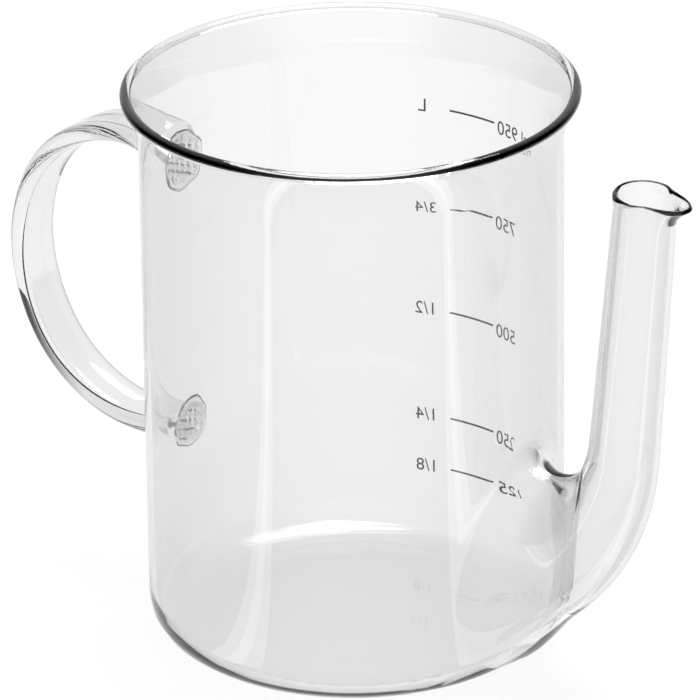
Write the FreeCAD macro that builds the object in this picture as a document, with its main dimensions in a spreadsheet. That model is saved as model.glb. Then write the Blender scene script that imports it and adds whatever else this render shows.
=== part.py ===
import FreeCAD, Part
import math
import os

import Sketcher

# Gravy fat separator: a lampworked clear glass jug.
# The origin is on the jug's axis in the plane that it stands on.
# +X points to the spout, -X to the handle, +Y to the printed scale, +Z up.

doc = FreeCAD.newDocument("fat_separator")
sheet = doc.addObject("Spreadsheet::Sheet", "sizes")

SIZES = [
    # jug wall, base and rim
    ("body_radius", 52.7),
    ("wall_thickness", 1.7),
    ("jug_height", 146.0),
    ("heel_radius", 9.5),
    ("base_thickness", 2.5),
    ("push_up_height", 1.5),
    ("bearing_ring_width", 7.0),
    ("rim_radius", 57.0),
    ("rim_bead_radius", 1.4),
    ("flare_height", 15.0),
    # spout tube, measured along its centre line from the mouth down
    ("spout_reach", 88.0),
    ("spout_drop", 8.4),
    ("spout_lean", 5.0),
    ("spout_root_height", 26.5),
    ("spout_bend_radius", 56.0),
    ("spout_bend_angle", 55.6),
    ("spout_mouth_radius", 8.3),
    ("spout_neck_radius", 7.8),
    ("spout_tube_radius", 8.8),
    ("spout_root_radius", 14.0),
    ("spout_wall", 1.5),
    ("spout_root_fillet", 8.0),
    ("spout_seam_reach", 7.5),
    ("lip_height", 5.0),
    ("lip_reach", 12.2),
    ("lip_half_width", 4.8),
    ("lip_wall", 0.9),
    # strap handle, on its centre line
    ("handle_reach", 102.5),
    ("handle_widest_height", 80.4),
    ("handle_upper_drop", 30.0),
    ("handle_lower_height", 41.5),
    ("handle_upper_lead", 23.2),
    ("handle_lower_lead", 18.2),
    ("handle_upper_ease", 4.46),
    ("handle_lower_ease", 2.62),
    ("strap_width", 14.0),
    ("strap_thickness", 5.2),
    ("strap_corner_radius", 1.4),
    # fused pads where the strap meets the wall
    ("upper_pad_depth", 4.4),
    ("upper_pad_width", 19.0),
    ("upper_pad_height", 14.5),
    ("lower_pad_depth", 4.0),
    ("lower_pad_width", 17.5),
    ("lower_pad_height", 13.0),
    # printed scale
    ("scale_first_height", 34.2),
    ("scale_step", 30.0),
    ("scale_half_step_height", 19.6),
    ("scale_top_drop", 26.0),
    ("tick_length", 14.1),
    ("tick_width", 0.5),
    ("enamel_thickness", 0.12),
]

for row, (name, value) in enumerate(SIZES, start=1):
    sheet.set("A%d" % row, name)
    sheet.set("B%d" % row, str(value))
    sheet.setAlias("B%d" % row, name)
doc.recompute()

size = {name: float(sheet.get(name)) for name, _ in SIZES}
Vec = FreeCAD.Vector
UP = Vec(0, 0, 1)
ACROSS = Vec(0, 1, 0)


# The spout's mouth and the handle's upper weld keep their place below the rim
SPOUT_HEIGHT = size["jug_height"] - size["spout_drop"]
HANDLE_UPPER_HEIGHT = size["jug_height"] - size["handle_upper_drop"]


def bind(obj, prop, expression):
    obj.setExpression(prop, expression)


def dimension(sketch, constraint, expression):
    """Add a sized constraint and bind it to the sheet."""
    index = sketch.addConstraint(constraint)
    sketch.setExpression("Constraints[%d]" % index, expression)


def boolean(kind, name, base, tool):
    obj = doc.addObject("Part::" + kind, name)
    obj.Base = base
    obj.Tool = tool
    return obj


def fuse(name, shapes):
    obj = doc.addObject("Part::MultiFuse", name)
    obj.Shapes = shapes
    return obj


# Jug outside: underside with a slight push-up, bearing ring, rounded heel and wall
def jug_profile(name, outside):
    """Half section in the XZ plane, as wide as the wall's outer or inner face."""
    s = size
    radius = s["body_radius"] - (0 if outside else s["wall_thickness"])
    heel = s["heel_radius"] - (0 if outside else s["wall_thickness"])
    bottom = 0.0 if outside else s["base_thickness"]
    ring = s["body_radius"] - s["heel_radius"] - s["bearing_ring_width"]
    # the flare's mid line runs from the straight wall to the bead's centre
    flare_start = s["jug_height"] - s["flare_height"]
    bead_r = s["rim_radius"] - s["rim_bead_radius"]
    bead_z = s["jug_height"] - s["rim_bead_radius"]
    run = bead_r - s["body_radius"] + s["wall_thickness"] / 2
    rise = bead_z - flare_start
    turn = 2 * math.atan2(run, rise)
    mid_radius = rise / math.sin(turn)
    centre_r = s["body_radius"] - s["wall_thickness"] / 2 + mid_radius
    flare = centre_r - radius

    def on_flare(angle):
        return Vec(centre_r - flare * math.cos(angle), 0, flare_start + flare * math.sin(angle))

    push_up = s["push_up_height"]
    axis_low = Vec(0, 0, bottom + push_up)
    # the arc of the push-up, level at the axis
    dome = (ring * ring + push_up * push_up) / (2 * push_up)
    half_r = ring / 2
    dome_mid = Vec(half_r, 0, bottom + push_up - dome + math.sqrt(dome * dome - half_r * half_r))
    ring_in = Vec(ring, 0, bottom)
    heel_low = Vec(radius - heel, 0, bottom)
    diagonal = heel * math.sqrt(0.5)
    heel_mid = Vec(radius - heel + diagonal, 0, bottom + heel - diagonal)
    heel_high = Vec(radius, 0, bottom + heel)
    wall_high = Vec(radius, 0, flare_start)
    flare_end = on_flare(turn)
    # the inner form runs on past the rim, so that it opens the jug
    top_z = flare_end.z if outside else s["jug_height"] + s["rim_bead_radius"]
    edges = [
        Part.Arc(axis_low, dome_mid, ring_in).toShape(),
        Part.makeLine(ring_in, heel_low),
        Part.Arc(heel_low, heel_mid, heel_high).toShape(),
        Part.makeLine(heel_high, wall_high),
        Part.Arc(wall_high, on_flare(turn / 2), flare_end).toShape(),
    ]
    end = flare_end
    if not outside:
        end = Vec(flare_end.x + (top_z - flare_end.z) * math.tan(turn), 0, top_z)
        edges.append(Part.makeLine(flare_end, end))
    top_axis = Vec(0, 0, end.z)
    edges.append(Part.makeLine(end, top_axis))
    edges.append(Part.makeLine(top_axis, axis_low))
    profile = doc.addObject("Part::Feature", name)
    profile.Shape = Part.Face(Part.Wire(edges))
    return profile


def revolved(name, source):
    turned = doc.addObject("Part::Revolution", name)
    turned.Source = source
    turned.Axis = UP
    turned.Angle = 360
    turned.Solid = False
    turned.Placement = FreeCAD.Placement(Vec(0, 0, 0), FreeCAD.Rotation(UP, 180))
    return turned


outside_profile = jug_profile("jug_outside_profile", True)
inside_profile = jug_profile("jug_inside_profile", False)
jug_outside = revolved("jug_outside", outside_profile)
jug_inside = revolved("jug_inside", inside_profile)


# Spout: circles along a straight lean and one large bend, swelling into the root
LEAN = math.radians(size["spout_lean"])
BEND_TURN = math.radians(size["spout_bend_angle"])
BEND_LENGTH = BEND_TURN * size["spout_bend_radius"]
# the straight part fills the height that the bend and the root leave below the mouth
BEND_RISE = size["spout_bend_radius"] * (math.sin(LEAN + BEND_TURN) - math.sin(LEAN))
STRAIGHT = (SPOUT_HEIGHT - size["spout_root_height"] - BEND_RISE) / math.cos(LEAN)


def spout_station(distance):
    """Centre and direction at a distance along the centre line, below the mouth."""
    radius = size["spout_bend_radius"]
    down = Vec(-math.sin(LEAN), 0, -math.cos(LEAN))
    mouth = Vec(size["spout_reach"], 0, SPOUT_HEIGHT)
    if distance <= STRAIGHT:
        return mouth + down * distance, down
    inward = Vec(-math.cos(LEAN), 0, math.sin(LEAN))
    centre = mouth + down * STRAIGHT + inward * radius
    angle = min((distance - STRAIGHT) / radius, BEND_TURN)
    turn = FreeCAD.Rotation(ACROSS, math.degrees(angle))
    along = turn.multVec(down)
    point = centre - turn.multVec(inward) * radius
    beyond = distance - STRAIGHT - BEND_LENGTH
    return point + along * max(beyond, 0.0), along


def circle(name, centre, direction, radius_expression):
    ring = doc.addObject("Part::Circle", name)
    bind(ring, "Radius", radius_expression)
    turn = FreeCAD.Rotation(ACROSS, direction.cross(ACROSS), direction, "ZXY")
    ring.Placement = FreeCAD.Placement(centre, turn)
    return ring


LOFT_DEGREE = 3


def loft(name, sections):
    skin = doc.addObject("Part::Loft", name)
    skin.Sections = sections
    skin.Solid = True
    skin.Ruled = False
    skin.MaxDegree = LOFT_DEGREE
    return skin


MOUTH_DEPTH = 6.0      # height over which the fire-polished mouth sinks into the tube
SUNK_RADIUS = "sizes.spout_neck_radius - sizes.spout_wall / 2"
MOUTH_OVERRUN = 2.0    # the bore runs on past the mouth, and the lip's bore with it
ROOT_OVERRUN = 16.0    # the root runs on inside the jug's wall
STRAIGHT_SHARES = (0.0, 0.2, 0.4, 0.6, 0.8, 1.0)
BEND_SECTIONS = 6
SWELL_POWER = 0.9      # the tube swells a little sooner than evenly round the bend


def spout_form(name, inset):
    """The tube's outer face, or its bore when inset is the wall's name."""
    less = " - sizes." + inset if inset else ""
    rings = []

    def add(distance, radius):
        centre, along = spout_station(distance)
        ring = circle("%s_ring_%02d" % (name, len(rings)), centre, along, radius + less)
        rings.append(ring)

    for share in STRAIGHT_SHARES:
        radius = "sizes.spout_neck_radius + (sizes.spout_tube_radius - sizes.spout_neck_radius) * %.2f"
        add(STRAIGHT * share, radius % share)
    for k in range(1, BEND_SECTIONS + 1):
        share = k / BEND_SECTIONS
        radius = "sizes.spout_tube_radius + (sizes.spout_root_radius - sizes.spout_tube_radius) * %.4f"
        add(STRAIGHT + BEND_LENGTH * share, radius % share ** SWELL_POWER)
    for run in (ROOT_OVERRUN / 2, ROOT_OVERRUN):
        add(STRAIGHT + BEND_LENGTH + run, "sizes.spout_root_radius")
    return loft(name, rings)


def mouth_form(name, inset):
    """The fire-polished mouth, slightly wider than the tube that it grows out of."""
    mouth, along = spout_station(0.0)
    less = " - sizes." + inset if inset else ""
    top = mouth - along * (MOUTH_OVERRUN if inset else 0.0)
    foot = mouth + along * MOUTH_DEPTH
    high = circle(name + "_high", top, along, "sizes.spout_mouth_radius" + less)
    low = circle(name + "_low", foot, along, SUNK_RADIUS + less)
    return loft(name, [high, low])


def lip_form(name, inset):
    """The pouring lip, drawn out of the tube to an oval that reaches past the mouth."""
    lift = MOUTH_OVERRUN if inset else 0.0
    low, along = spout_station(size["lip_height"])
    mouth, _ = spout_station(0.0)
    outward = Vec(-along.z, 0, along.x)
    turn = FreeCAD.Rotation(outward, along.cross(outward), along, "ZXY")
    less = " - sizes." + inset if inset else ""
    start = doc.addObject("Part::Circle", name + "_low")
    bore_less = " - sizes.spout_wall" if inset else ""
    bind(start, "Radius", SUNK_RADIUS + bore_less)
    start.Placement = FreeCAD.Placement(low, turn)
    end = doc.addObject("Part::Ellipse", name + "_high")
    bind(end, "MajorRadius", "sizes.lip_reach / 2" + less)
    bind(end, "MinorRadius", "sizes.lip_half_width" + less)
    middle = size["lip_reach"] / 2
    slope = middle / size["lip_height"]
    end.Placement = FreeCAD.Placement(mouth - along * lift + outward * (middle + lift * slope), turn)
    return loft(name, [start, end])


spout_outside = spout_form("spout_outside", None)
spout_bore = spout_form("spout_bore", "spout_wall")
mouth_outside = mouth_form("mouth_outside", None)
mouth_bore = mouth_form("mouth_bore", "spout_wall")
lip_outside = lip_form("lip_outside", None)
lip_bore = lip_form("lip_bore", "lip_wall")
doc.recompute()


# Root blend: the glass swells from the wall into the spout, inside and outside
ROOT_NEAR = 0.3      # the root's edges lie outside this share of the wall's radius
ROOT_HIGH = 0.6      # and below this share of the jug's height
ON_WALL = 0.5        # how far an edge may stand off the wall and still lie on it


def root_edges(shape, radius):
    """Edges where the spout's root meets the wall."""
    found = []
    for number, edge in enumerate(shape.Edges, start=1):
        if edge.Degenerated:
            continue
        box = edge.BoundBox
        free_form = edge.Curve.TypeId == "Part::GeomBSplineCurve"
        at_wall = box.XMin > radius * ROOT_NEAR and box.XMax < radius + ON_WALL
        if free_form and at_wall and box.ZMax < size["jug_height"] * ROOT_HIGH:
            found.append(number)
    return found


def blended(name, jug, tube, wall_radius, fillet_radius):
    joined = boolean("Fuse", name + "_joined", jug, tube)
    doc.recompute()
    blend = doc.addObject("Part::Fillet", name)
    blend.Base = joined
    blend.Edges = [(n, fillet_radius, fillet_radius) for n in root_edges(joined.Shape, wall_radius)]
    return blend


outer_glass = blended(
    "outer_glass", jug_outside, spout_outside, size["body_radius"], size["spout_root_fillet"]
)
inner_space = blended(
    "inner_space",
    jug_inside,
    spout_bore,
    size["body_radius"] - size["wall_thickness"],
    size["spout_root_fillet"] + size["wall_thickness"],
)
doc.recompute()

# Fire-polished bead round the rim
rim_bead = doc.addObject("Part::Torus", "rim_bead")
bind(rim_bead, "Radius1", "sizes.rim_radius - sizes.rim_bead_radius")
bind(rim_bead, "Radius2", "sizes.rim_bead_radius")
bind(rim_bead, "Placement.Base.z", "sizes.jug_height - sizes.rim_bead_radius")
bind(rim_bead, "Placement.Rotation.Angle", "90")

glass_form = fuse("glass_form", [outer_glass, mouth_outside, lip_outside])
hollow_form = fuse("hollow_form", [inner_space, mouth_bore, lip_bore])
glass = boolean("Cut", "glass", glass_form, hollow_form)

# Weld plane of the spout: the tube joins the short neck that is drawn out of the wall
spout_side = doc.addObject("Part::Box", "spout_side")
bind(spout_side, "Length", "sizes.spout_reach")
bind(spout_side, "Width", "4 * sizes.body_radius")
bind(spout_side, "Height", "2 * sizes.jug_height")
bind(spout_side, "Placement.Base.x", "sizes.body_radius + sizes.spout_seam_reach")
bind(spout_side, "Placement.Base.y", "-2 * sizes.body_radius")
bind(spout_side, "Placement.Base.z", "-0.5 * sizes.jug_height")

beaker_glass = boolean("Cut", "beaker_glass", glass, spout_side)
beaker = fuse("beaker", [beaker_glass, rim_bead])
spout_tube = boolean("Common", "spout_tube", glass, spout_side)
doc.recompute()


# Strap handle: from each weld two tangent arcs run to the widest point of the grip
def tangent_arc(start, corner, end):
    """Arc from start to end whose end tangents meet in the corner."""
    middle = (start + end) / 2
    half = (end - start).Length / 2
    rise = (corner - middle).Length
    sagitta = half * math.tan(math.atan2(rise, half) / 2)
    crown = middle + (corner - middle) * (sagitta / rise)
    return Part.Arc(start, crown, end).toShape()


def two_arcs(start, out_of, end, into, ease):
    """Two arcs with one tangent where they join; ease is how much longer the first is."""
    gap = end - start
    blend = out_of * ease + into
    a = 2 * ease * (1 - out_of.dot(into))
    b = gap.dot(blend)
    far = (math.sqrt(b * b + a * gap.dot(gap)) - b) / a
    near = far * ease
    first_corner = start + out_of * near
    last_corner = end - into * far
    joint = (first_corner * far + last_corner * near) / (near + far)
    return [tangent_arc(start, first_corner, joint), tangent_arc(joint, last_corner, end)]


def handle_path():
    """Centre line in the XZ plane from the upper weld to the lower, and its first heading."""
    wall = -size["body_radius"]
    top = Vec(wall, 0, HANDLE_UPPER_HEIGHT)
    bottom = Vec(wall, 0, size["handle_lower_height"])
    widest = Vec(-size["handle_reach"], 0, size["handle_widest_height"])
    down = -UP
    upper = math.radians(size["handle_upper_lead"])
    lower = math.radians(size["handle_lower_lead"])
    leaving = Vec(-math.cos(upper), 0, math.sin(upper))
    # the lower half is drawn from the weld up to the widest point
    returning = Vec(-math.cos(lower), 0, -math.sin(lower))
    upper_arcs = two_arcs(top, leaving, widest, down, size["handle_upper_ease"])
    lower_arcs = two_arcs(bottom, returning, widest, UP, size["handle_lower_ease"])
    path = doc.addObject("Part::Feature", "handle_path")
    path.Shape = Part.Wire(upper_arcs + lower_arcs[::-1])
    return path, leaving


def strap_section(heading):
    """Flat strap with rounded corners, square to the start of the path."""
    s = size
    half_w = s["strap_width"] / 2
    half_t = s["strap_thickness"] / 2
    r = s["strap_corner_radius"]
    sketch = doc.addObject("Sketcher::SketchObject", "strap_section")
    flat = Vec(0, 0, 1)
    inner_w = half_w - r
    inner_t = half_t - r
    quarter = math.pi / 2
    corners = [(inner_w, inner_t), (-inner_w, inner_t), (-inner_w, -inner_t), (inner_w, -inner_t)]
    # arcs are 0, 2, 4 and 6, and the lines between them 1, 3, 5 and 7
    for k, (x, y) in enumerate(corners):
        arc = Part.ArcOfCircle(Part.Circle(Vec(x, y, 0), flat, r), k * quarter, (k + 1) * quarter)
        sketch.addGeometry(arc, False)
        next_x, next_y = corners[(k + 1) % 4]
        out = Vec(math.cos((k + 1) * quarter), math.sin((k + 1) * quarter), 0) * r
        sketch.addGeometry(Part.LineSegment(Vec(x, y, 0) + out, Vec(next_x, next_y, 0) + out), False)
    for k in range(8):
        sketch.addConstraint(Sketcher.Constraint("Tangent", k, 2, (k + 1) % 8, 1))
    for line in (1, 5):
        sketch.addConstraint(Sketcher.Constraint("Horizontal", line))
    for line in (3, 7):
        sketch.addConstraint(Sketcher.Constraint("Vertical", line))
    for arc in (2, 4, 6):
        sketch.addConstraint(Sketcher.Constraint("Equal", 0, arc))
    dimension(sketch, Sketcher.Constraint("Radius", 0, r), "sizes.strap_corner_radius")
    reach = Sketcher.Constraint("DistanceX", -1, 1, 0, 1, half_w)
    dimension(sketch, reach, "sizes.strap_width / 2")
    reach = Sketcher.Constraint("DistanceY", -1, 1, 0, 2, half_t)
    dimension(sketch, reach, "sizes.strap_thickness / 2")
    reach = Sketcher.Constraint("DistanceX", 2, 2, -1, 1, half_w)
    dimension(sketch, reach, "sizes.strap_width / 2")
    reach = Sketcher.Constraint("DistanceY", 6, 1, -1, 1, half_t)
    dimension(sketch, reach, "sizes.strap_thickness / 2")
    start = Vec(-s["body_radius"], 0, HANDLE_UPPER_HEIGHT)
    turn = FreeCAD.Rotation(ACROSS, heading.cross(ACROSS), heading, "ZXY")
    sketch.Placement = FreeCAD.Placement(start, turn)
    return sketch


path, strap_heading = handle_path()
section_sketch = strap_section(strap_heading)
doc.recompute()

strap = doc.addObject("Part::Sweep", "strap")
strap.Sections = [section_sketch]
strap.Spine = (path, ["Edge1", "Edge2", "Edge3", "Edge4"])
strap.Solid = True
strap.Frenet = True

# Jug wall as the handle and the print meet it
wall_cylinder = doc.addObject("Part::Cylinder", "wall_cylinder")
bind(wall_cylinder, "Radius", "sizes.body_radius")
bind(wall_cylinder, "Height", "sizes.jug_height")


# Weld pads: low domes of fused glass between the strap's ends and the wall
def weld_pad(side, height):
    """Dome on the wall and the pad that is left of it outside the wall."""
    name = side + "_handle_weld"
    dome = doc.addObject("Part::Ellipsoid", name + "_dome")
    bind(dome, "Radius1", "sizes.%s_pad_height / 2" % side)
    bind(dome, "Radius2", "sizes.%s_pad_depth" % side)
    bind(dome, "Radius3", "sizes.%s_pad_width / 2" % side)
    dome.Angle1 = -90
    dome.Angle2 = 90
    dome.Angle3 = 360
    bind(dome, "Placement.Base.x", "-sizes.body_radius")
    bind(dome, "Placement.Base.z", height)
    return dome, boolean("Cut", name, dome, wall_cylinder)


upper_dome, upper_weld = weld_pad("upper", "sizes.jug_height - sizes.handle_upper_drop")
lower_dome, lower_weld = weld_pad("lower", "sizes.handle_lower_height")
strap_seat = fuse("strap_seat", [wall_cylinder, upper_dome, lower_dome])
strap_handle = boolean("Cut", "strap_handle", strap, strap_seat)


# Printed scale: thin arcs of fired enamel on the wall's outer face
def tick_arc(name, radius_expression, height):
    arc = doc.addObject("Part::Cylinder", name)
    sweep = "sizes.tick_length / sizes.body_radius * 180 / pi"
    bind(arc, "Radius", radius_expression)
    bind(arc, "Height", "sizes.tick_width")
    bind(arc, "Angle", sweep)
    bind(arc, "Placement.Rotation.Angle", "90 - (%s) / 2" % sweep)
    bind(arc, "Placement.Base.z", height + " - sizes.tick_width / 2")
    return arc


MARKS = [
    ("tick_125", "sizes.scale_half_step_height"),
    ("tick_250", "sizes.scale_first_height"),
    ("tick_500", "sizes.scale_first_height + sizes.scale_step"),
    ("tick_750", "sizes.scale_first_height + 2 * sizes.scale_step"),
    ("tick_950", "sizes.jug_height - sizes.scale_top_drop"),
]
ticks = []
for mark, height in MARKS:
    wedge = tick_arc(mark + "_wedge", "sizes.body_radius + sizes.enamel_thickness", height)
    ticks.append(boolean("Cut", mark, wedge, wall_cylinder))
scale = doc.addObject("Part::Compound", "graduation_lines")
scale.Links = ticks
doc.recompute()

SUB_PARTS = [
    ("beaker", beaker),
    ("spout_tube", spout_tube),
    ("strap_handle", strap_handle),
    ("upper_handle_weld", upper_weld),
    ("lower_handle_weld", lower_weld),
    ("graduation_lines", scale),
]

for obj in doc.Objects:
    if "Invalid" in obj.State or "Error" in obj.State:
        raise RuntimeError("%s did not build: %s" % (obj.Name, obj.State))
for name, obj in SUB_PARTS:
    if obj.Shape.isNull() or not obj.Shape.isValid():
        raise RuntimeError(name + " has no valid shape")

os.makedirs("parts", exist_ok=True)
for name, obj in SUB_PARTS:
    obj.Label = name
    obj.Shape.exportStep("parts/%s.step" % name)
    solids = len(obj.Shape.Solids)
    box = obj.Shape.optimalBoundingBox(False)
    print("%-20s %d solids %10.1f mm3  X %7.2f %7.2f  Y %7.2f %7.2f  Z %7.2f %7.2f" % (
        name, solids, obj.Shape.Volume, box.XMin, box.XMax, box.YMin, box.YMax, box.ZMin, box.ZMax))
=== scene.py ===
import math

import bpy
import numpy as np
from mathutils import Matrix, Vector


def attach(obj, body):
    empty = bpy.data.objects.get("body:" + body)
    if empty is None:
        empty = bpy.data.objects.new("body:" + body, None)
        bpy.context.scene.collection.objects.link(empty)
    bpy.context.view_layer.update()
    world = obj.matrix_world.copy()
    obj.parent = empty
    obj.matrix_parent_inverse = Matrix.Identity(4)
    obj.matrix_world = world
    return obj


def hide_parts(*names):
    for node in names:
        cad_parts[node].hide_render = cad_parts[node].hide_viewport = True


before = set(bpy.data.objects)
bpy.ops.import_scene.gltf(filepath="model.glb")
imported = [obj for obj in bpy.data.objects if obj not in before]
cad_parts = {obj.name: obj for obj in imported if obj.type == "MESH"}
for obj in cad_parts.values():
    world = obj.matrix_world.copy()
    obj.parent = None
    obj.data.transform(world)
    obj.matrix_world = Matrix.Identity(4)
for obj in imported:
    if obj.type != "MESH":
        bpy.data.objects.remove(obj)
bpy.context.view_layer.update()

# Driving sizes of the glass, in millimetres
BODY_R = 52.7
WALL = 1.7
HEIGHT = 146.0
HEEL_R = 9.5
BASE = 2.5
PUSH_UP = 1.5
RING_WIDTH = 7.0
RIM_R = 57.0
BEAD_R = 1.4
FLARE_H = 15.0

SPOUT_REACH = 88.0
SPOUT_TOP = HEIGHT - 8.4
SPOUT_LEAN = math.radians(5.0)
SPOUT_ROOT_HEIGHT = 26.5
SPOUT_BEND = 56.0
SPOUT_TURN = math.radians(55.6)
BEND_RISE = SPOUT_BEND * (math.sin(SPOUT_LEAN + SPOUT_TURN) - math.sin(SPOUT_LEAN))
SPOUT_STRAIGHT = (SPOUT_TOP - SPOUT_ROOT_HEIGHT - BEND_RISE) / math.cos(SPOUT_LEAN)
SPOUT_NECK_R = 7.8
SPOUT_TUBE_R = 8.8
SPOUT_ROOT_R = 14.0
SPOUT_WALL = 1.5

HANDLE_REACH = 102.5
HANDLE_WIDEST = 80.4
HANDLE_TOP = 116.0
HANDLE_FOOT = 41.5
HANDLE_BENDS = (35.3, 44.4, 37.2)
STRAP_W = 14.0
STRAP_T = 5.2
STRAP_CORNER = 2.4

SCALE_HEIGHTS = {"950": 120.0, "750": 94.2, "500": 64.2, "250": 34.2, "125": 19.6}
FRACTIONS = {"3/4": 94.2, "1/2": 64.2, "1/4": 34.2, "1/8": 19.6}

MM = 0.001


# Mesh helpers
def make_object(name, points, faces, smooth=True):
    mesh = bpy.data.meshes.new(name)
    mesh.from_pydata([tuple(p) for p in np.asarray(points) * MM], [], faces)
    mesh.validate()
    if smooth:
        mesh.polygons.foreach_set("use_smooth", [True] * len(mesh.polygons))
    obj = bpy.data.objects.new(name, mesh)
    bpy.context.collection.objects.link(obj)
    return obj


class Skin:
    """Collects points and faces; points that fall on one place are shared."""

    def __init__(self):
        self.points = []
        self.faces = []
        self.index = {}

    def point(self, p):
        key = (round(p[0], 4), round(p[1], 4), round(p[2], 4))
        if key not in self.index:
            self.index[key] = len(self.points)
            self.points.append(p)
        return self.index[key]

    def face(self, corners, flip=False):
        ids = [self.point(p) for p in corners]
        kept = [v for k, v in enumerate(ids) if v != ids[k - 1]]
        if len(kept) > 2 and len(set(kept)) == len(kept):
            self.faces.append(kept[::-1] if flip else kept)

    def grid(self, rows, flip=False, closed=True):
        """Quads between rows of points; closed joins the last point to the first."""
        count = len(rows[0])
        for a, b in zip(rows[:-1], rows[1:]):
            for k in range(count if closed else count - 1):
                n = (k + 1) % count
                self.face((a[k], a[n], b[n], b[k]), flip)

    def build(self, name):
        return make_object(name, self.points, self.faces)


def arc_points(centre, radius, start, end, count):
    angles = np.linspace(start, end, count)
    return [(centre[0] + radius * math.cos(a), centre[1] + radius * math.sin(a)) for a in angles]


# Jug profile: (radius, height) pairs for the outer and inner face
HEEL_POINTS = 25
WALL_POINTS = 40
FLARE_POINTS = 13
DOME_ROWS = 14


def flare_data():
    """The angle that the flare's arc turns through, and the radius at which its centre lies."""
    rise = FLARE_H - BEAD_R
    run = RIM_R - BEAD_R - BODY_R + WALL / 2
    turn = 2 * math.atan2(run, rise)
    centre = BODY_R - WALL / 2 + rise / math.sin(turn)
    return turn, centre


def dome(ring, height, bottom):
    """The base's push-up, from the axis out to the ring."""
    radius = (ring * ring + height * height) / (2 * height)
    rows = []
    for r in np.linspace(0.0, ring, DOME_ROWS):
        rows.append((r, bottom + height - radius + math.sqrt(radius * radius - r * r)))
    return rows


RING_IN = BODY_R - HEEL_R - RING_WIDTH
FLARE_TURN, FLARE_CENTRE = flare_data()
FLARE_START = HEIGHT - FLARE_H


class Profile:
    """A polyline of (radius, height) that can be read at any arc length."""

    def __init__(self, points):
        self.p = np.array(points, float)
        steps = np.hypot(*(self.p[1:] - self.p[:-1]).T)
        self.s = np.concatenate(([0.0], np.cumsum(steps)))

    def at(self, s):
        return np.array([np.interp(s, self.s, self.p[:, 0]), np.interp(s, self.s, self.p[:, 1])])

    def arc_of_height(self, z):
        """Arc length where the wall reaches a height, above the heel's middle."""
        return float(np.interp(z, self.p[:, 1], self.s))


def wall_profile(inset, base):
    """From the ring's inner edge, round the heel and up the wall to the flare's end."""
    heel = HEEL_R - inset
    centre = (BODY_R - HEEL_R, base + heel)
    points = [(RING_IN, base)]
    points += arc_points(centre, heel, -math.pi / 2, 0, HEEL_POINTS)
    wall_heights = np.linspace(base + heel, FLARE_START, WALL_POINTS)[1:]
    points += [(BODY_R - inset, z) for z in wall_heights]
    flare = FLARE_CENTRE - BODY_R + inset
    for a in np.linspace(0, FLARE_TURN, FLARE_POINTS)[1:]:
        points.append((FLARE_CENTRE - flare * math.cos(a), FLARE_START + flare * math.sin(a)))
    return Profile(points)


OUTER = wall_profile(0.0, 0.0)
INNER = wall_profile(WALL, BASE)


# Spout centre line in the XZ plane
def spout_line(s):
    """Centre, direction down the tube, and the direction away from the jug."""
    down = np.array([-math.sin(SPOUT_LEAN), -math.cos(SPOUT_LEAN)])
    out = np.array([math.cos(SPOUT_LEAN), -math.sin(SPOUT_LEAN)])
    mouth = np.array([SPOUT_REACH, SPOUT_TOP])
    if s <= SPOUT_STRAIGHT:
        return mouth + down * s, down, out
    centre = mouth + down * SPOUT_STRAIGHT - out * SPOUT_BEND
    a = (s - SPOUT_STRAIGHT) / SPOUT_BEND
    turned = min(a, SPOUT_TURN)
    c, n = math.cos(turned), math.sin(turned)
    out_t = np.array([out[0] * c + out[1] * n, -out[0] * n + out[1] * c])
    down_t = np.array([down[0] * c + down[1] * n, -down[0] * n + down[1] * c])
    point = centre + out_t * SPOUT_BEND + down_t * (a - turned) * SPOUT_BEND
    return point, down_t, out_t


SPOUT_LENGTH = SPOUT_STRAIGHT + SPOUT_TURN * SPOUT_BEND
SWELL_DELAY = 0.12      # a larger value starts the swelling further down the bend
SWELL_MOST = 1.2        # past the end of the centre line the swelling stops at this share


def spout_radius(s):
    """The tube widens slightly to the bend and then swells towards the wall."""
    narrow = SPOUT_NECK_R + (SPOUT_TUBE_R - SPOUT_NECK_R) * min(s / SPOUT_STRAIGHT, 1.0)
    share = max(0.0, (s - SPOUT_STRAIGHT) / (SPOUT_LENGTH - SPOUT_STRAIGHT))
    swell = share * share / (share + SWELL_DELAY) * (1 + SWELL_DELAY)
    return narrow + (SPOUT_ROOT_R - SPOUT_TUBE_R) * min(swell, SWELL_MOST)


def spout_point(s, theta, radius):
    """Theta 0 faces the jug, pi faces away from it."""
    c, _, out = spout_line(s)
    x, z = c - out * radius * math.cos(theta)
    return np.array([x, -radius * math.sin(theta), z])


# The opening in the wall round the spout's root, in arc length round and up the wall
NU, NV = 22, 26
WINDOW_HALF = 36.0
WINDOW_TOP = 80.0
WINDOW_LOW_S = 1.2


def window_boundary(profile, phis):
    """Grid points round the window, counter-clockwise seen from outside."""
    s_top = profile.arc_of_height(WINDOW_TOP)
    rows = np.linspace(WINDOW_LOW_S, s_top, NV + 1)
    points = []
    for k in range(NU):
        points.append((phis[k], rows[0]))
    for k in range(NV):
        points.append((phis[-1], rows[k]))
    for k in range(NU):
        points.append((phis[NU - k], rows[-1]))
    for k in range(NV):
        points.append((phis[0], rows[NV - k]))
    return points, rows


def surface_point(profile, phi, s):
    r, z = profile.at(s)
    return np.array([r * math.cos(phi), r * math.sin(phi), z])


ROOT_HALF_WIDTH = 24.0
ROOT_TOP = 66.0
ROOT_LOW_S = 10.5
ROOT_MIDDLE_DROP = 6.0      # the root is widest this far below the middle of its height
ROOT_TOP_INSET = 0.6        # share of the wall by which the inner root ends lower


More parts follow.
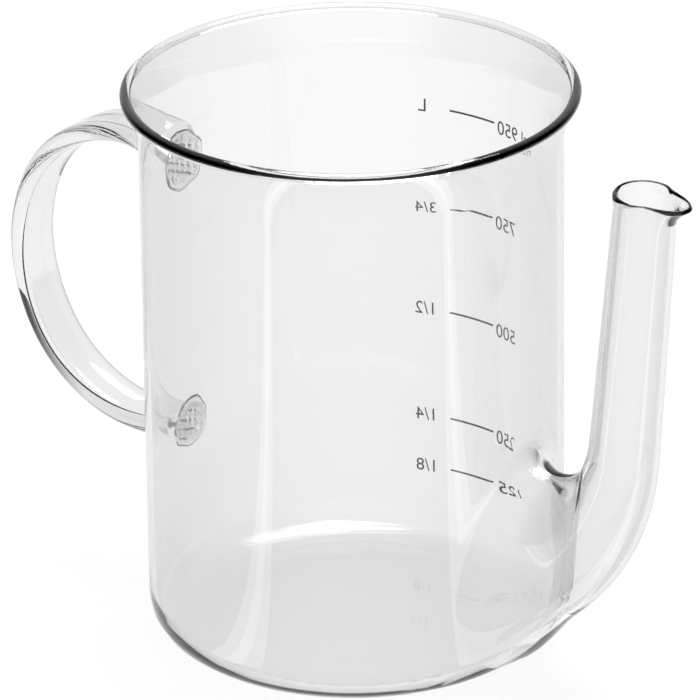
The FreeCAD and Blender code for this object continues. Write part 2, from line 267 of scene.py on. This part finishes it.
def root_loop(profile, inset, thetas):
    """Where the wall starts to swell, as (phi, arc length) for each angle round the root."""
    top = profile.arc_of_height(ROOT_TOP) - inset * ROOT_TOP_INSET
    low = ROOT_LOW_S
    mid = (top + low) / 2 - ROOT_MIDDLE_DROP
    half = ROOT_HALF_WIDTH - inset
    loop = []
    for t in thetas:
        up = math.cos(t)
        s = mid + (top - mid) * up if up > 0 else mid + (mid - low) * up
        loop.append((-half * math.sin(t) / BODY_R, s))
    return loop


SEAM_NEAR = SPOUT_STRAIGHT + 9.0
SEAM_FAR = SPOUT_STRAIGHT + 47.0


def seam_station(theta):
    """How far down the tube the seam lies, on the side facing the jug and away from it."""
    return SEAM_NEAR + (SEAM_FAR - SEAM_NEAR) * (1 - math.cos(theta)) / 2


def bezier(a, ta, tb, b, t):
    u = 1 - t
    return a * u ** 3 + (a + ta) * 3 * u * u * t + (b + tb) * 3 * u * t * t + b * t ** 3


def angle_of_boundary(points, profile):
    """Angle round the root for each window point, so that the radial lines fan out evenly."""
    mid = root_loop(profile, 0.0, [math.pi / 2])[0][1]
    angles = []
    for phi, s in points:
        angles.append(math.atan2(-phi * BODY_R, s - mid))
    return angles


RADIAL = 14
BLEND = 16
WALL_STEP = 1e-3            # share of a radial line that gives its heading at the root
TUBE_STEP = 0.5             # length of tube that gives its heading at the seam
WALL_PULL = (0.55, 0.40)    # how far the curve keeps each heading, as a share of the gap,
TUBE_PULL = (0.60, 0.35)    # on the side facing the jug and on the side away from it


def wall_with_root(skin, profile, tube_wall, flip):
    """The wall's window with the swelling root, and the loop where the tube begins."""
    phis = np.linspace(-WINDOW_HALF, WINDOW_HALF, NU + 1) / BODY_R
    boundary, rows = window_boundary(profile, phis)
    inset = 0.0 if profile is OUTER else WALL
    thetas = angle_of_boundary(boundary, profile)
    loop = root_loop(profile, inset, thetas)
    seam = []
    fans = []
    for (phi_b, s_b), (phi_a, s_a), theta in zip(boundary, loop, thetas):
        line = []
        for k in range(RADIAL + 1):
            t = k / RADIAL
            line.append(surface_point(profile, phi_b + (phi_a - phi_b) * t, s_b + (s_a - s_b) * t))
        start = line[-1]
        phi_next = phi_a + (phi_a - phi_b) * WALL_STEP
        s_next = s_a + (s_a - s_b) * WALL_STEP
        tangent = surface_point(profile, phi_next, s_next) - start
        tangent /= np.linalg.norm(tangent)
        station = seam_station(theta)
        end = spout_point(station, theta, spout_radius(station) - tube_wall)
        above = station - TUBE_STEP
        along = spout_point(above, theta, spout_radius(above) - tube_wall) - end
        along /= np.linalg.norm(along)
        gap = np.linalg.norm(end - start)
        away = 0.5 - 0.5 * math.cos(theta)
        handle_a = gap * (WALL_PULL[0] + (WALL_PULL[1] - WALL_PULL[0]) * away)
        handle_b = gap * (TUBE_PULL[0] + (TUBE_PULL[1] - TUBE_PULL[0]) * away)
        for k in range(1, BLEND + 1):
            line.append(bezier(start, tangent * handle_a, -along * handle_b, end, k / BLEND))
        seam.append((end, theta))
        fans.append(line)
    rows_out = [[fan[k] for fan in fans] for k in range(len(fans[0]))]
    skin.grid(rows_out, flip=flip)
    return phis, rows, seam


def revolve_rows(skin, profile, stations, phis, flip, gap=None):
    """The rest of the wall; gap is the span of phis and rows that the window fills."""
    rows = [[surface_point(profile, p, s) for p in phis] for s in stations]
    count = len(phis)
    for j, (a, b) in enumerate(zip(rows[:-1], rows[1:])):
        for k in range(count):
            n = (k + 1) % count
            if gap and k < gap[0] and gap[1] <= j < gap[2]:
                continue
            skin.face((a[k], a[n], b[n], b[k]), flip)
    return rows[0], rows[-1]


AROUND_REST = 110
HIGH_POINTS = 16


def glass_wall(skin, profile, tube_wall, flip):
    window_phis, window_rows, seam = wall_with_root(skin, profile, tube_wall, flip)
    rest = np.linspace(window_phis[-1], window_phis[0] + 2 * math.pi, AROUND_REST + 1)[1:-1]
    phis = np.concatenate((window_phis, rest))
    flare_s = profile.arc_of_height(FLARE_START)
    high = np.linspace(window_rows[-1], flare_s, HIGH_POINTS)[1:]
    flare = np.linspace(flare_s, profile.s[-1], FLARE_POINTS)[1:]
    stations = np.concatenate(([0.0], window_rows, high, flare))
    gap = (NU, 1, NV + 1)
    first, last = revolve_rows(skin, profile, stations, phis, flip, gap)
    return phis, first, last, seam


def base_disc(skin, phis, first, bottom, flip):
    """The pushed-up base inside the ring."""
    rows = []
    for r, z in dome(RING_IN, PUSH_UP, bottom)[:-1]:
        rows.append([np.array([r * math.cos(p), r * math.sin(p), z]) for p in phis])
    rows.append(first)
    skin.grid(rows, flip=flip)


BEAD_OVERLAP = 0.315    # radians by which the bead runs on past the end of each face
BEAD_POINTS = 21


def rim_bead(skin, phis, outer_end, inner_end):
    """Fire-polished bead that closes the wall's two faces at the rim."""
    centre = np.array([RIM_R - BEAD_R, HEIGHT - BEAD_R])
    out_rz = np.array([math.hypot(*outer_end[0][:2]), outer_end[0][2]]) - centre
    in_rz = np.array([math.hypot(*inner_end[0][:2]), inner_end[0][2]]) - centre
    start = math.atan2(out_rz[1], out_rz[0])
    end = math.atan2(in_rz[1], in_rz[0]) % (2 * math.pi)
    rows = [outer_end]
    for a in np.linspace(start - BEAD_OVERLAP, end + BEAD_OVERLAP, BEAD_POINTS):
        r, z = centre + BEAD_R * np.array([math.cos(a), math.sin(a)])
        rows.append([np.array([r * math.cos(p), r * math.sin(p), z]) for p in phis])
    rows.append(inner_end)
    skin.grid(rows)


def build_jug():
    skin = Skin()
    phis, first, last, outer_seam = glass_wall(skin, OUTER, 0.0, False)
    base_disc(skin, phis, first, 0.0, False)
    phis_in, first_in, last_in, inner_seam = glass_wall(skin, INNER, SPOUT_WALL, True)
    base_disc(skin, phis_in, first_in, BASE, True)
    rim_bead(skin, phis, last, last_in)
    return skin.build("jug"), outer_seam, inner_seam


# Spout tube: an outer and an inner face from the seam to the mouth, and the lip between them
LIP_DRAW = 4.4          # how far the lip reaches past the tube
LIP_LENGTH = 6.5
LIP_FADE = 1.8
LIP_NARROWNESS = 7
PINCH = 0.6             # how far the wall is pressed in on both sides of the lip
PINCH_PLACE = 0.45
PINCH_WIDTH = 0.25
MOUTH_FLARE = 0.45
MOUTH_FLARE_LENGTH = 2.0
TUBE_ROWS = 64
ROW_CROWDING = 1.25     # above 1, the rows lie closer together towards the mouth
MOUTH_WALL_SHARE = 0.9
EDGE_STEPS = 8
EDGE_ROUNDING = 0.5


def lip_offset(s, theta):
    """How far the pouring lip draws the tube's wall outward near the mouth."""
    depth = max(0.0, 1.0 - s / LIP_LENGTH) ** LIP_FADE
    facing = max(0.0, -math.cos(theta)) ** LIP_NARROWNESS
    pinch = -PINCH * depth * math.exp(-((math.cos(theta) + PINCH_PLACE) / PINCH_WIDTH) ** 2)
    return LIP_DRAW * depth * facing + pinch


def mouth_flare(s):
    return MOUTH_FLARE * math.exp(-(s / MOUTH_FLARE_LENGTH) ** 2)


def build_spout(outer_seam, inner_seam):
    skin = Skin()
    thetas = [t for _, t in outer_seam]

    def tube(seam, wall, flip):
        stack = [[p for p, _ in seam]]
        for j in range(1, TUBE_ROWS + 1):
            ring = []
            for theta in thetas:
                s = seam_station(theta) * (1 - j / TUBE_ROWS) ** ROW_CROWDING
                radius = spout_radius(s) - wall + mouth_flare(s) + lip_offset(s, theta)
                ring.append(spout_point(s, theta, radius))
            stack.append(ring)
        skin.grid(stack, flip=flip)
        return stack[-1]

    top_out = tube(outer_seam, 0.0, False)
    top_in = tube(inner_seam, SPOUT_WALL * MOUTH_WALL_SHARE, True)
    # rounded edge between the two faces
    _, down, _ = spout_line(0.0)
    up = np.array([-down[0], 0.0, -down[1]])
    edge = [top_out]
    for k in range(1, EDGE_STEPS):
        t = k / EDGE_STEPS
        lift = math.sin(math.pi * t) * SPOUT_WALL * EDGE_ROUNDING
        edge.append([a * (1 - t) + b * t + up * lift for a, b in zip(top_out, top_in)])
    edge.append(top_in)
    skin.grid(edge)
    return skin.build("spout")


# Strap handle
ARC_STEP = 1.6              # length of arc between two rings of the strap
CORNER_POINTS = 6
FACE_POINTS = 8
SIDE_POINTS = 3
CORNER_MOST = 0.98          # largest corner radius, as a share of half the width or thickness
UPPER_SWELL_LENGTH = 11.0
LOWER_SWELL_LENGTH = 9.0
UPPER_SWELL = (0.30, 0.28)  # shares added to width and thickness at the upper weld
LOWER_SWELL = (0.16, 0.22)
FOOT_LENGTH = 5.5           # length at each end of the path that belongs to the weld

# Each weld's name, the height of its patch, and half the patch's width and height
UPPER_PATCH = ("upper_weld", HANDLE_TOP - 1.0, 8.6, 7.6)
LOWER_PATCH = ("lower_weld", HANDLE_FOOT + 0.6, 7.8, 6.8)
PATCH_RINGS = 20
WALL_GAP = 0.03
WELD_SHIFT = -2.5           # both patches sit a little to one side of the strap
FOOT_STEPS = 10
STRAP_PULL = 0.5            # how far the foot's curve keeps the strap's heading, as a share of its gap
PATCH_PULL = 0.45           # and how far it keeps the heading across the wall
RIPPLES = ((3, 0.05), (7, 0.03))    # waves round the patch's edge, and their depth as a share
WRINKLE = 0.45              # depth of the fused glass's waves
WAVE_ONE = (1.6, 1.1)       # radians per millimetre across and up the patch
WAVE_TWO = (-0.8, 1.3)
WAVE_TWO_START = 2.0


def handle_line():
    """Points and headings along three tangent arcs, from the upper to the lower wall."""
    upper, grip, lower = HANDLE_BENDS
    grip_c = np.array([grip - HANDLE_REACH, HANDLE_WIDEST])
    top = np.array([-BODY_R, HANDLE_TOP])
    foot = np.array([-BODY_R, HANDLE_FOOT])

    def centre_through(distance, point, radius, above):
        gap = point - grip_c
        span = np.hypot(*gap)
        along = (distance ** 2 - radius ** 2 + span ** 2) / (2 * span)
        aside = math.sqrt(max(distance ** 2 - along ** 2, 0))
        unit = gap / span
        normal = np.array([-unit[1], unit[0]])
        options = sorted((grip_c + unit * along + normal * k for k in (aside, -aside)), key=lambda c: c[1])
        return options[1] if above else options[0]

    upper_c = centre_through(grip - upper, top, upper, True)
    lower_c = centre_through(grip - lower, foot, lower, False)

    def bearing(c, p):
        return math.atan2(p[1] - c[1], p[0] - c[0]) % (2 * math.pi)

    high = bearing(grip_c, upper_c)
    low = bearing(grip_c, lower_c)
    spans = [
        (upper_c, upper, bearing(upper_c, top), high),
        (grip_c, grip, high, low),
        (lower_c, lower, low, bearing(lower_c, foot)),
    ]
    points, normals = [], []
    for c, r, a0, a1 in spans:
        count = max(8, int(abs(a1 - a0) * r / ARC_STEP))
        for a in np.linspace(a0, a1, count + 1)[(1 if points else 0):]:
            normal = np.array([math.cos(a), math.sin(a)])
            points.append(c + r * normal)
            normals.append(normal)
    return np.array(points), np.array(normals)


def strap_outline(width, thick, corner):
    """Rounded rectangle as (across, out) pairs."""
    hw, ht = width / 2, thick / 2
    corner = min(corner, ht * CORNER_MOST, hw * CORNER_MOST)
    outline = []
    centres = [
        (hw - corner, ht - corner),
        (-hw + corner, ht - corner),
        (-hw + corner, -ht + corner),
        (hw - corner, -ht + corner),
    ]
    for k, (cx, cy) in enumerate(centres):
        turned = (k + 1) * math.pi / 2
        for a in np.linspace(k * math.pi / 2, turned, CORNER_POINTS):
            outline.append((cx + corner * math.cos(a), cy + corner * math.sin(a)))
        nx, ny = centres[(k + 1) % 4]
        end = outline[-1]
        start = (nx + corner * math.cos(turned), ny + corner * math.sin(turned))
        steps = FACE_POINTS if k % 2 == 0 else SIDE_POINTS
        for t in np.linspace(0, 1, steps + 2)[1:-1]:
            outline.append((end[0] + (start[0] - end[0]) * t, end[1] + (start[1] - end[1]) * t))
    return outline


def strap_ring(centre, normal, scale_w, scale_t):
    outline = strap_outline(STRAP_W * scale_w, STRAP_T * scale_t, STRAP_CORNER * scale_t)
    ring = []
    for across, out in outline:
        x, z = centre + normal * out
        ring.append(np.array([x, across, z]))
    return ring


def strap_widths(lengths):
    """The strap swells a little where it nears each weld."""
    total = lengths[-1]
    widths = []
    for s in lengths:
        upper = math.exp(-(s / UPPER_SWELL_LENGTH) ** 2)
        lower = math.exp(-((total - s) / LOWER_SWELL_LENGTH) ** 2)
        widths.append([1 + u * upper + w * lower for u, w in zip(UPPER_SWELL, LOWER_SWELL)])
    return widths


def build_handle():
    points, normals = handle_line()
    steps = np.hypot(*(points[1:] - points[:-1]).T)
    lengths = np.concatenate(([0.0], np.cumsum(steps)))
    widths = strap_widths(lengths)
    rings = [strap_ring(p, n, *w) for p, n, w in zip(points, normals, widths)]
    first = int(np.searchsorted(lengths, FOOT_LENGTH))
    last = int(np.searchsorted(lengths, lengths[-1] - FOOT_LENGTH))
    strap = Skin()
    strap.grid(rings[first:last + 1], flip=True)
    upper = weld_foot(*UPPER_PATCH, rings[first], rings[first + 1], True)
    lower = weld_foot(*LOWER_PATCH, rings[last], rings[last - 1], False)
    return strap.build("strap"), upper, lower


def fused_wave(y, z):
    """Waves of the fused glass over the patch, between -1 and 1."""
    one = math.sin(WAVE_ONE[0] * y + WAVE_ONE[1] * z)
    return one * math.sin(WAVE_TWO[1] * z + WAVE_TWO[0] * y + WAVE_TWO_START)


def weld_foot(name, height, half_w, half_h, seam, ahead, flip):
    """Flared foot from the strap to an oval patch that follows the wall."""
    skin = Skin()
    middle = sum(seam) / len(seam)
    (slow, deep), (quick, fine) = RIPPLES
    lines = []
    for p, q in zip(seam, ahead):
        away = p - middle
        angle = math.atan2(away[2] / half_h, away[1] / half_w)
        ripple = 1 + deep * math.sin(slow * angle + height) + fine * math.sin(quick * angle)
        y = WELD_SHIFT + half_w * math.cos(angle) * ripple
        z = height + half_h * math.sin(angle) * ripple
        r = BODY_R + WALL_GAP
        end = np.array([-math.sqrt(r * r - y * y), y, z])
        tangent = p - q
        tangent /= np.linalg.norm(tangent)
        rim = np.array([0.0, math.cos(angle), math.sin(angle)])
        gap = np.linalg.norm(end - p)
        leave, arrive = tangent * gap * STRAP_PULL, -rim * gap * PATCH_PULL
        lines.append([bezier(p, leave, arrive, end, k / FOOT_STEPS) for k in range(FOOT_STEPS + 1)])
    skin.grid([[line[k] for line in lines] for k in range(FOOT_STEPS + 1)], flip=flip)
    # patch on the wall, with the shallow wrinkles of the fused glass
    patch = [[line[-1] for line in lines]]
    for k in range(1, PATCH_RINGS + 1):
        share = 1 - k / PATCH_RINGS
        ring = []
        for line in lines:
            y = WELD_SHIFT + (line[-1][1] - WELD_SHIFT) * share
            z = height + (line[-1][2] - height) * share
            r = BODY_R + WALL_GAP + WRINKLE * (1 + fused_wave(y, z)) * (1 - share ** 4)
            ring.append(np.array([-math.sqrt(r * r - y * y), y, z]))
        patch.append(ring)
    skin.grid(patch, flip=flip)
    return skin.build(name)


# Materials
GLASS_IOR = 1.473
EDGE_SHADE_SHARE = 0.62      # how much darker the glass's colour is painted where it is seen edge on: painted shade for the dark edges that the surroundings draw on clear glass, and a stand-in for the longer path through the glass there
EDGE_SHADE_BLEND = 0.25
BUMP_DEPTH = 0.001
ENAMEL_ROUGHNESS = 0.55
ENAMEL_GRAIN = 900.0


def glass_material(name, tint, bump_scale, bump_strength):
    mat = bpy.data.materials.new(name)
    mat.use_nodes = True
    nodes, links = mat.node_tree.nodes, mat.node_tree.links
    bsdf = nodes["Principled BSDF"]
    bsdf.inputs["Transmission Weight"].default_value = 1.0
    bsdf.inputs["Roughness"].default_value = 0.0
    bsdf.inputs["IOR"].default_value = GLASS_IOR
    # Painted shade: the base colour darkens from the tint as the surface turns edge on, standing in for
    # the dark edges that refraction of the surroundings draws, and for the longer path through the glass
    # there.
    facing = nodes.new("ShaderNodeLayerWeight")
    facing.inputs["Blend"].default_value = EDGE_SHADE_BLEND
    ramp = nodes.new("ShaderNodeValToRGB")
    ramp.color_ramp.elements[0].position = 0.0
    ramp.color_ramp.elements[0].color = (tint, tint, tint, 1)
    ramp.color_ramp.elements[1].position = 1.0
    edge = tint * EDGE_SHADE_SHARE
    ramp.color_ramp.elements[1].color = (edge, edge, edge, 1)
    links.new(facing.outputs["Facing"], ramp.inputs["Fac"])
    links.new(ramp.outputs["Color"], bsdf.inputs["Base Color"])
    coords = nodes.new("ShaderNodeTexCoord")
    noise = nodes.new("ShaderNodeTexNoise")
    noise.inputs["Scale"].default_value = bump_scale
    noise.inputs["Detail"].default_value = 2.0
    bump = nodes.new("ShaderNodeBump")
    bump.inputs["Strength"].default_value = bump_strength
    bump.inputs["Distance"].default_value = BUMP_DEPTH
    links.new(coords.outputs["Object"], noise.inputs["Vector"])
    links.new(noise.outputs["Fac"], bump.inputs["Height"])
    links.new(bump.outputs["Normal"], bsdf.inputs["Normal"])
    return mat


def enamel_material():
    mat = bpy.data.materials.new("black_enamel")
    mat.use_nodes = True
    nodes, links = mat.node_tree.nodes, mat.node_tree.links
    bsdf = nodes["Principled BSDF"]
    bsdf.inputs["Roughness"].default_value = ENAMEL_ROUGHNESS
    coords = nodes.new("ShaderNodeTexCoord")
    noise = nodes.new("ShaderNodeTexNoise")
    noise.inputs["Scale"].default_value = ENAMEL_GRAIN
    ramp = nodes.new("ShaderNodeValToRGB")
    ramp.color_ramp.elements[0].color = (0.006, 0.006, 0.006, 1)
    ramp.color_ramp.elements[1].color = (0.018, 0.018, 0.018, 1)
    links.new(coords.outputs["Object"], noise.inputs["Vector"])
    links.new(noise.outputs["Fac"], ramp.inputs["Fac"])
    links.new(ramp.outputs["Color"], bsdf.inputs["Base Color"])
    return mat


GLASS = glass_material("clear_glass", 0.915, 18.0, 0.02)
STRAP_GLASS = glass_material("strap_glass", 0.87, 18.0, 0.02)
WELD_GLASS = glass_material("weld_glass", 0.93, 260.0, 0.6)
ENAMEL = enamel_material()


# Printed scale: sizes in millimetres, places as angles round the wall in degrees
NUMERAL_SIZE, NUMERAL_ANGLE, NUMERAL_DROP = 3.7, 76.8, 1.0
FRACTION_SIZE, FRACTION_ANGLE = 3.4, 105.2
LITRE_SIZE, LITRE_ANGLE, LITRE_HEIGHT = 3.5, 106.0, 120.2
UNIT_SIZE, UNIT_ANGLE, UNIT_HEIGHT = 3.2, 68.4, 119.2
CAP_SHARE = 0.69            # height of a capital as a share of the type's size
PRINT_DEPTH = 0.00003
PRINT_LIFT = 0.05


def wrap_on_wall(obj, phi_centre, z_centre, lift):
    """Bends a flat text mesh onto the wall's outer face, to be read from outside."""
    radius = BODY_R + lift
    for v in obj.data.vertices:
        phi = phi_centre + v.co.x / MM / radius
        r = radius + v.co.z / MM
        z = z_centre + v.co.y / MM
        v.co = Vector((r * math.cos(phi) * MM, r * math.sin(phi) * MM, z * MM))


def print_text(name, text, height, phi_deg, z):
    curve = bpy.data.curves.new(name, "FONT")
    curve.body = text
    curve.align_x = "CENTER"
    curve.align_y = "CENTER"
    curve.size = height * MM / CAP_SHARE
    curve.extrude = PRINT_DEPTH
    curve.resolution_u = 4
    temp = bpy.data.objects.new(name + "_curve", curve)
    bpy.context.collection.objects.link(temp)
    depsgraph = bpy.context.evaluated_depsgraph_get()
    mesh = bpy.data.meshes.new_from_object(temp.evaluated_get(depsgraph))
    bpy.data.objects.remove(temp)
    obj = bpy.data.objects.new(name, mesh)
    bpy.context.collection.objects.link(obj)
    wrap_on_wall(obj, math.radians(phi_deg), z, PRINT_LIFT)
    obj.data.materials.append(ENAMEL)
    return obj


def printed_scale():
    prints = []
    for text, z in SCALE_HEIGHTS.items():
        prints.append(print_text("volume_" + text, text, NUMERAL_SIZE, NUMERAL_ANGLE, z - NUMERAL_DROP))
    for k, (text, z) in enumerate(FRACTIONS.items()):
        prints.append(print_text("litre_part_%d" % (k + 1), text, FRACTION_SIZE, FRACTION_ANGLE, z))
    prints.append(print_text("unit_litre", "L", LITRE_SIZE, LITRE_ANGLE, LITRE_HEIGHT))
    prints.append(print_text("unit_ml", "ml", UNIT_SIZE, UNIT_ANGLE, UNIT_HEIGHT))
    return prints


# Assembly
jug, outer_seam, inner_seam = build_jug()
spout = build_spout(outer_seam, inner_seam)
strap, upper_weld, lower_weld = build_handle()
for piece, node, slot, material in (
    (jug, "beaker", "jug_glass", GLASS),
    (spout, "spout_tube", "spout_glass", GLASS),
    (strap, "strap_handle", "handle_glass", STRAP_GLASS),
    (upper_weld, "upper_handle_weld", "weld_glass", WELD_GLASS),
    (lower_weld, "lower_handle_weld", "weld_glass", WELD_GLASS),
):
    piece.data.materials.append(material)
    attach(piece, "root")
    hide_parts(node)

for piece in printed_scale():
    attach(piece, "root")

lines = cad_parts["graduation_lines"]
for material_slot in lines.material_slots:
    material_slot.material = ENAMEL


# Floor
FLOOR_HALF = 600.0      # beyond it, glass edges see the dark sides of the world
FLOOR_WHITE = 0.9       # share of plain white that is seen, beside the lit floor
FLOOR_DROP = 0.05       # keeps the floor just under the jug's bearing ring


def floor_surface():
    """Lit floor that keeps the shadow, with plain white added where it is looked at."""
    material = bpy.data.materials.new("floor_white")
    material.use_nodes = True
    nodes, links = material.node_tree.nodes, material.node_tree.links
    nodes.clear()
    out = nodes.new("ShaderNodeOutputMaterial")
    diffuse = nodes.new("ShaderNodeBsdfDiffuse")
    diffuse.inputs["Color"].default_value = (0.8, 0.8, 0.8, 1)
    white = nodes.new("ShaderNodeEmission")
    white.inputs["Strength"].default_value = 1.0
    path = nodes.new("ShaderNodeLightPath")
    seen = nodes.new("ShaderNodeMath")
    seen.operation = "MAXIMUM"
    looked_at = nodes.new("ShaderNodeMath")
    looked_at.operation = "MAXIMUM"
    share = nodes.new("ShaderNodeMath")
    share.operation = "MULTIPLY"
    share.inputs[1].default_value = FLOOR_WHITE
    mix = nodes.new("ShaderNodeMixShader")
    links.new(path.outputs["Is Camera Ray"], seen.inputs[0])
    links.new(path.outputs["Is Transmission Ray"], seen.inputs[1])
    links.new(seen.outputs[0], looked_at.inputs[0])
    links.new(path.outputs["Is Glossy Ray"], looked_at.inputs[1])
    links.new(looked_at.outputs[0], share.inputs[0])
    links.new(share.outputs[0], mix.inputs["Fac"])
    links.new(diffuse.outputs[0], mix.inputs[1])
    links.new(white.outputs[0], mix.inputs[2])
    links.new(mix.outputs[0], out.inputs["Surface"])
    return material


corner_signs = ((-1, -1), (1, -1), (1, 1), (-1, 1))
corners = [(x * FLOOR_HALF, y * FLOOR_HALF, -FLOOR_DROP) for x, y in corner_signs]
floor = make_object("floor", corners, [(0, 1, 2, 3)], smooth=False)
floor.data.materials.append(floor_surface())


# World: bright before and behind the jug, dark to the camera's left and right,
# which draws dark lines along the glass edges
SIDE_START, SIDE_END = 0.45, 0.84       # how far to the side the brightness starts and stops falling
BRIGHT, DARK = 0.90, 0.01
MIX_A, MIX_B, MIX_RESULT = 6, 7, 2      # colour sockets of the mix node


def studio_world(right):
    world = bpy.data.worlds.new("studio")
    bpy.context.scene.world = world
    world.use_nodes = True
    nodes, links = world.node_tree.nodes, world.node_tree.links
    background = nodes["Background"]
    coords = nodes.new("ShaderNodeTexCoord")
    dot = nodes.new("ShaderNodeVectorMath")
    dot.operation = "DOT_PRODUCT"
    dot.inputs[1].default_value = right
    aside = nodes.new("ShaderNodeMath")
    aside.operation = "ABSOLUTE"
    ramp = nodes.new("ShaderNodeValToRGB")
    ramp.color_ramp.elements[0].position = SIDE_START
    ramp.color_ramp.elements[0].color = (BRIGHT, BRIGHT, BRIGHT, 1)
    ramp.color_ramp.elements[1].position = SIDE_END
    ramp.color_ramp.elements[1].color = (DARK, DARK, DARK, 1)
    path = nodes.new("ShaderNodeLightPath")
    mix = nodes.new("ShaderNodeMix")
    mix.data_type = "RGBA"
    mix.inputs[MIX_B].default_value = (1, 1, 1, 1)
    links.new(coords.outputs["Generated"], dot.inputs[0])
    links.new(dot.outputs["Value"], aside.inputs[0])
    links.new(aside.outputs[0], ramp.inputs["Fac"])
    links.new(ramp.outputs["Color"], mix.inputs[MIX_A])
    links.new(path.outputs["Is Camera Ray"], mix.inputs[0])
    links.new(mix.outputs[MIX_RESULT], background.inputs["Color"])


AZIMUTH = math.radians(36.5)
studio_world((math.cos(AZIMUTH), math.sin(AZIMUTH), 0.0))


def area_light(name, place, target, width, height, power):
    data = bpy.data.lights.new(name, "AREA")
    data.shape = "RECTANGLE"
    data.size = width
    data.size_y = height
    data.energy = power
    obj = bpy.data.objects.new(name, data)
    obj.location = place
    direction = Vector(target) - Vector(place)
    obj.rotation_euler = direction.to_track_quat("-Z", "Y").to_euler()
    bpy.context.collection.objects.link(obj)


area_light("top_box", (0.0, 0.3, 1.4), (0, 0, 0.07), 1.0, 1.0, 30.0)


STRIP_START = 0.06          # distance from the jug's axis to the near end of each strip
STRIP_HEIGHT = 0.0005
STRIP_LENGTH = 0.40
CORE_RADIANCE = 2.6
SOFT_RADIANCE = 1.5
SOFT_WIDENING = 3.2         # width of the softer strip, in widths of the core


def floor_strip(name, turn_from_camera, width, length, radiance):
    """Lamp strip on the floor that runs away from the jug; the wall shows it as a soft upright band."""
    angle = AZIMUTH - math.pi / 2 + math.radians(turn_from_camera)
    middle = STRIP_START + length / 2
    data = bpy.data.lights.new(name, "AREA")
    data.shape = "RECTANGLE"
    data.size = length
    data.size_y = width
    data.energy = radiance * math.pi * width * length
    obj = bpy.data.objects.new(name, data)
    obj.location = (middle * math.cos(angle), middle * math.sin(angle), STRIP_HEIGHT)
    obj.rotation_euler = (math.pi, 0.0, angle)
    obj.visible_camera = False
    obj.visible_transmission = False
    obj.visible_diffuse = False
    bpy.context.collection.objects.link(obj)


for side, turned, core in (("left", -43.0, 0.007), ("right", 49.0, 0.010)):
    floor_strip(side + "_strip", turned, core, STRIP_LENGTH, CORE_RADIANCE)
    floor_strip(side + "_strip_soft", turned, core * SOFT_WIDENING, STRIP_LENGTH, SOFT_RADIANCE)


# Camera at the photograph's viewing angle
ELEVATION = math.radians(24.386)
ROLL = math.radians(-0.753)
DISTANCE = 1.8446
FOCAL_PX = 7361.0
PICTURE_PX = 700.0
SENSOR = 36.0
AIM_HEIGHT = 0.070
# pixel where the point on the axis at the aim height falls
AIM_X, AIM_Y = 354.013, 366.153


def photo_camera():
    ca, sa = math.cos(AZIMUTH), math.sin(AZIMUTH)
    ce, se = math.cos(ELEVATION), math.sin(ELEVATION)
    back = Vector((ce * sa, -ce * ca, se))
    right = Vector((ca, sa, 0))
    up = Vector((-se * sa, se * ca, ce))
    cr, sr = math.cos(ROLL), math.sin(ROLL)
    right_r = right * cr + up * sr
    up_r = -right * sr + up * cr
    data = bpy.data.cameras.new("photo_view")
    data.sensor_width = SENSOR
    data.lens = SENSOR * FOCAL_PX / PICTURE_PX
    data.clip_start = 0.05
    data.clip_end = 20.0
    camera = bpy.data.objects.new("photo_view", data)
    bpy.context.collection.objects.link(camera)
    per_pixel = DISTANCE / FOCAL_PX
    place = Vector((0, 0, AIM_HEIGHT)) + back * DISTANCE
    place -= right_r * (AIM_X - PICTURE_PX / 2) * per_pixel
    place += up_r * (AIM_Y - PICTURE_PX / 2) * per_pixel
    rotation = Matrix((right_r, up_r, back)).transposed()
    camera.matrix_world = Matrix.Translation(place) @ rotation.to_4x4()
    bpy.context.scene.camera = camera


photo_camera()
bpy.context.scene.view_settings.view_transform = "Standard"
